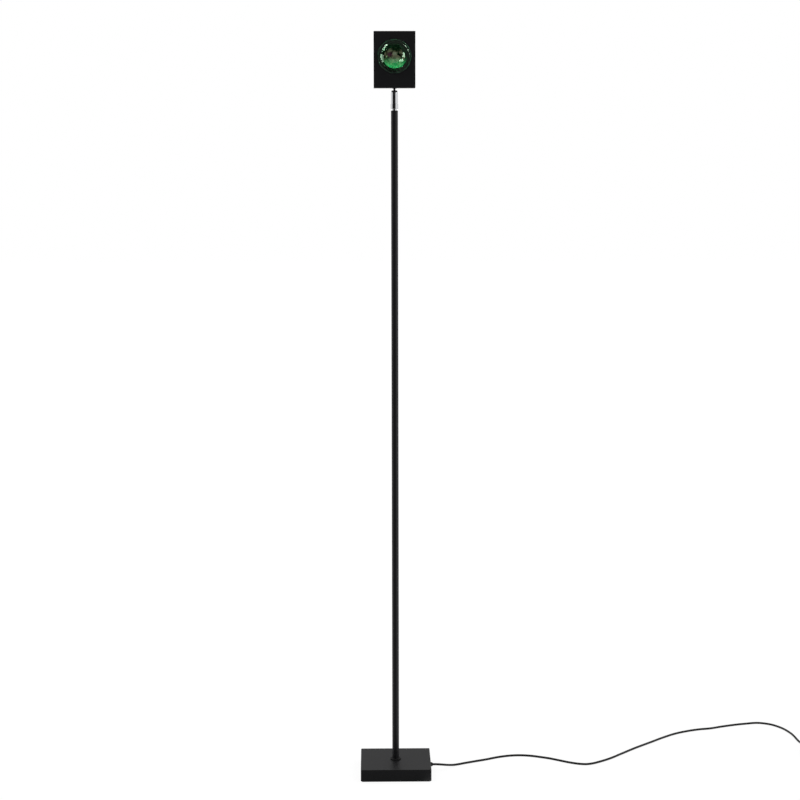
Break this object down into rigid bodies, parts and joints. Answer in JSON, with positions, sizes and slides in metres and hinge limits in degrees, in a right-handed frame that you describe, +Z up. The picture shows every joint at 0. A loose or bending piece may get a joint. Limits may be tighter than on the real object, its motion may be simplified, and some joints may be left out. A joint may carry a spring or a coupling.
{
  "type": "sunset projection floor lamp",
  "caption": "Slim floor lamp with a square weight, a black pole, a chrome ball swivel and a box head whose domed lens projects a warm disc of light.",
  "frame": {"origin": "middle of the underside of the square weight, on the floor", "axes": "+Z up along the pole, -Y the way the lens looks at rest, +X the side where the cord leaves the weight"},
  "size_m": [1.0576, 0.4364, 1.57],
  "materials": {
    "black_powder_coat": "fine-textured matt black powder coat on steel and aluminium",
    "black_anodised": "black anodised aluminium, extruded fins",
    "foam_pad": "die-cut closed-cell EVA foam sheet",
    "moulded_rubber": "moulded black rubber",
    "zinc_steel": "bright zinc-plated steel",
    "spring_steel": "oiled spring steel",
    "black_nickel": "black nickel plate on turned steel",
    "polished_chrome": "polished chrome plate on turned brass",
    "natural_nylon": "natural nylon, moulded",
    "bare_brass": "stamped and turned brass",
    "cord_pvc": "extruded black PVC sheath",
    "lead_insulation": "PVC insulated thin wire",
    "cable_sheath": "white flexible inner cable",
    "lens_glass": "pressed and polished optical glass with a green anti-reflection tint",
    "dichroic_glass": "thin glass with a dichroic coating, green in reflection",
    "condenser_glass": "clear moulded condenser lens",
    "black_abs": "moulded black ABS, light texture",
    "black_pc": "matt black polycarbonate, to swallow stray light",
    "white_pc": "moulded white polycarbonate",
    "white_board": "white solder mask on an aluminium-core board",
    "phosphor": "yellow phosphor over the light-emitting die",
    "silicone_pad": "grey thermal silicone",
    "green_board": "green solder mask on a glass-epoxy board",
    "driver_components": "moulded component bodies",
    "black_screws": "black oxide steel"
  },
  "bodies": {
    "stand": {"base_pad": "foam_pad", "base_block": "black_powder_coat", "base_collar": "moulded_rubber", "base_nipple": "zinc_steel", "base_washer": "zinc_steel", "base_nut": "zinc_steel", "terminal_block": "natural_nylon", "terminal_screws": "bare_brass", "inner_cord": "cord_pvc", "cord_clamp": "natural_nylon", "clamp_screws": "zinc_steel", "cord_gland": "moulded_rubber", "gland_nut": "black_abs", "pole_tube": "black_powder_coat", "pole_foot_insert": "zinc_steel", "pole_top_insert": "zinc_steel", "pole_cable": "cable_sheath", "swivel_nipple": "polished_chrome", "pan_clip": "spring_steel", "cord_lead": "cord_pvc", "switch_bottom": "black_abs", "switch_top": "black_abs", "switch_screws": "zinc_steel", "switch_contacts": "bare_brass", "cord_tail": "cord_pvc", "cord_coil": "cord_pvc", "cord_tie": "foam_pad", "cord_end": "cord_pvc", "plug_relief": "cord_pvc", "plug_body": "black_abs", "plug_pins": "zinc_steel"},
    "swivel": {"swivel_plug": "polished_chrome", "swivel_body": "polished_chrome", "swivel_adjuster": "zinc_steel", "swivel_springs": "spring_steel", "swivel_seat": "natural_nylon"},
    "ball": {"ball_stem": "black_nickel", "stem_leads": "cable_sheath", "stem_washer": "zinc_steel", "stem_nut": "zinc_steel"},
    "head": {"head_housing": "black_powder_coat", "lens_gasket": "moulded_rubber", "lens": "lens_glass", "lens_barrel": "black_pc", "barrel_screws": "zinc_steel", "dichroic_filter": "dichroic_glass", "filter_ring": "black_anodised", "condenser_lens": "condenser_glass", "condenser_holder": "white_pc", "led_board": "white_board", "led_emitter": "phosphor", "thermal_pad": "silicone_pad", "led_leads": "lead_insulation", "driver_board": "green_board", "driver_parts": "driver_components", "driver_screws": "zinc_steel", "heat_sink": "black_anodised", "heat_sink_screws": "black_screws"},
    "rocker": {"switch_rocker": "black_abs"}
  },
  "joints": [
    {"name": "swivel_pan", "type": "hinge", "parent": "stand", "child": "swivel", "pos_m": [0, 0, 1.4135], "axis": [0, 0, 1], "range_deg": [-175, 175]},
    {"name": "head_tilt", "type": "hinge", "parent": "swivel", "child": "ball", "pos_m": [0, 0, 1.4445], "axis": [-1, 0, 0], "range_deg": [-20, 90]},
    {"name": "head_spin", "type": "hinge", "parent": "ball", "child": "head", "pos_m": [0, 0, 1.4445], "axis": [0, 0, 1], "range_deg": [-175, 175]},
    {"name": "switch_press", "type": "hinge", "parent": "stand", "child": "rocker", "pos_m": [0.918, 0.095, 0.014], "axis": [1, 0, 0], "range_deg": [0, 16]}
  ]
}
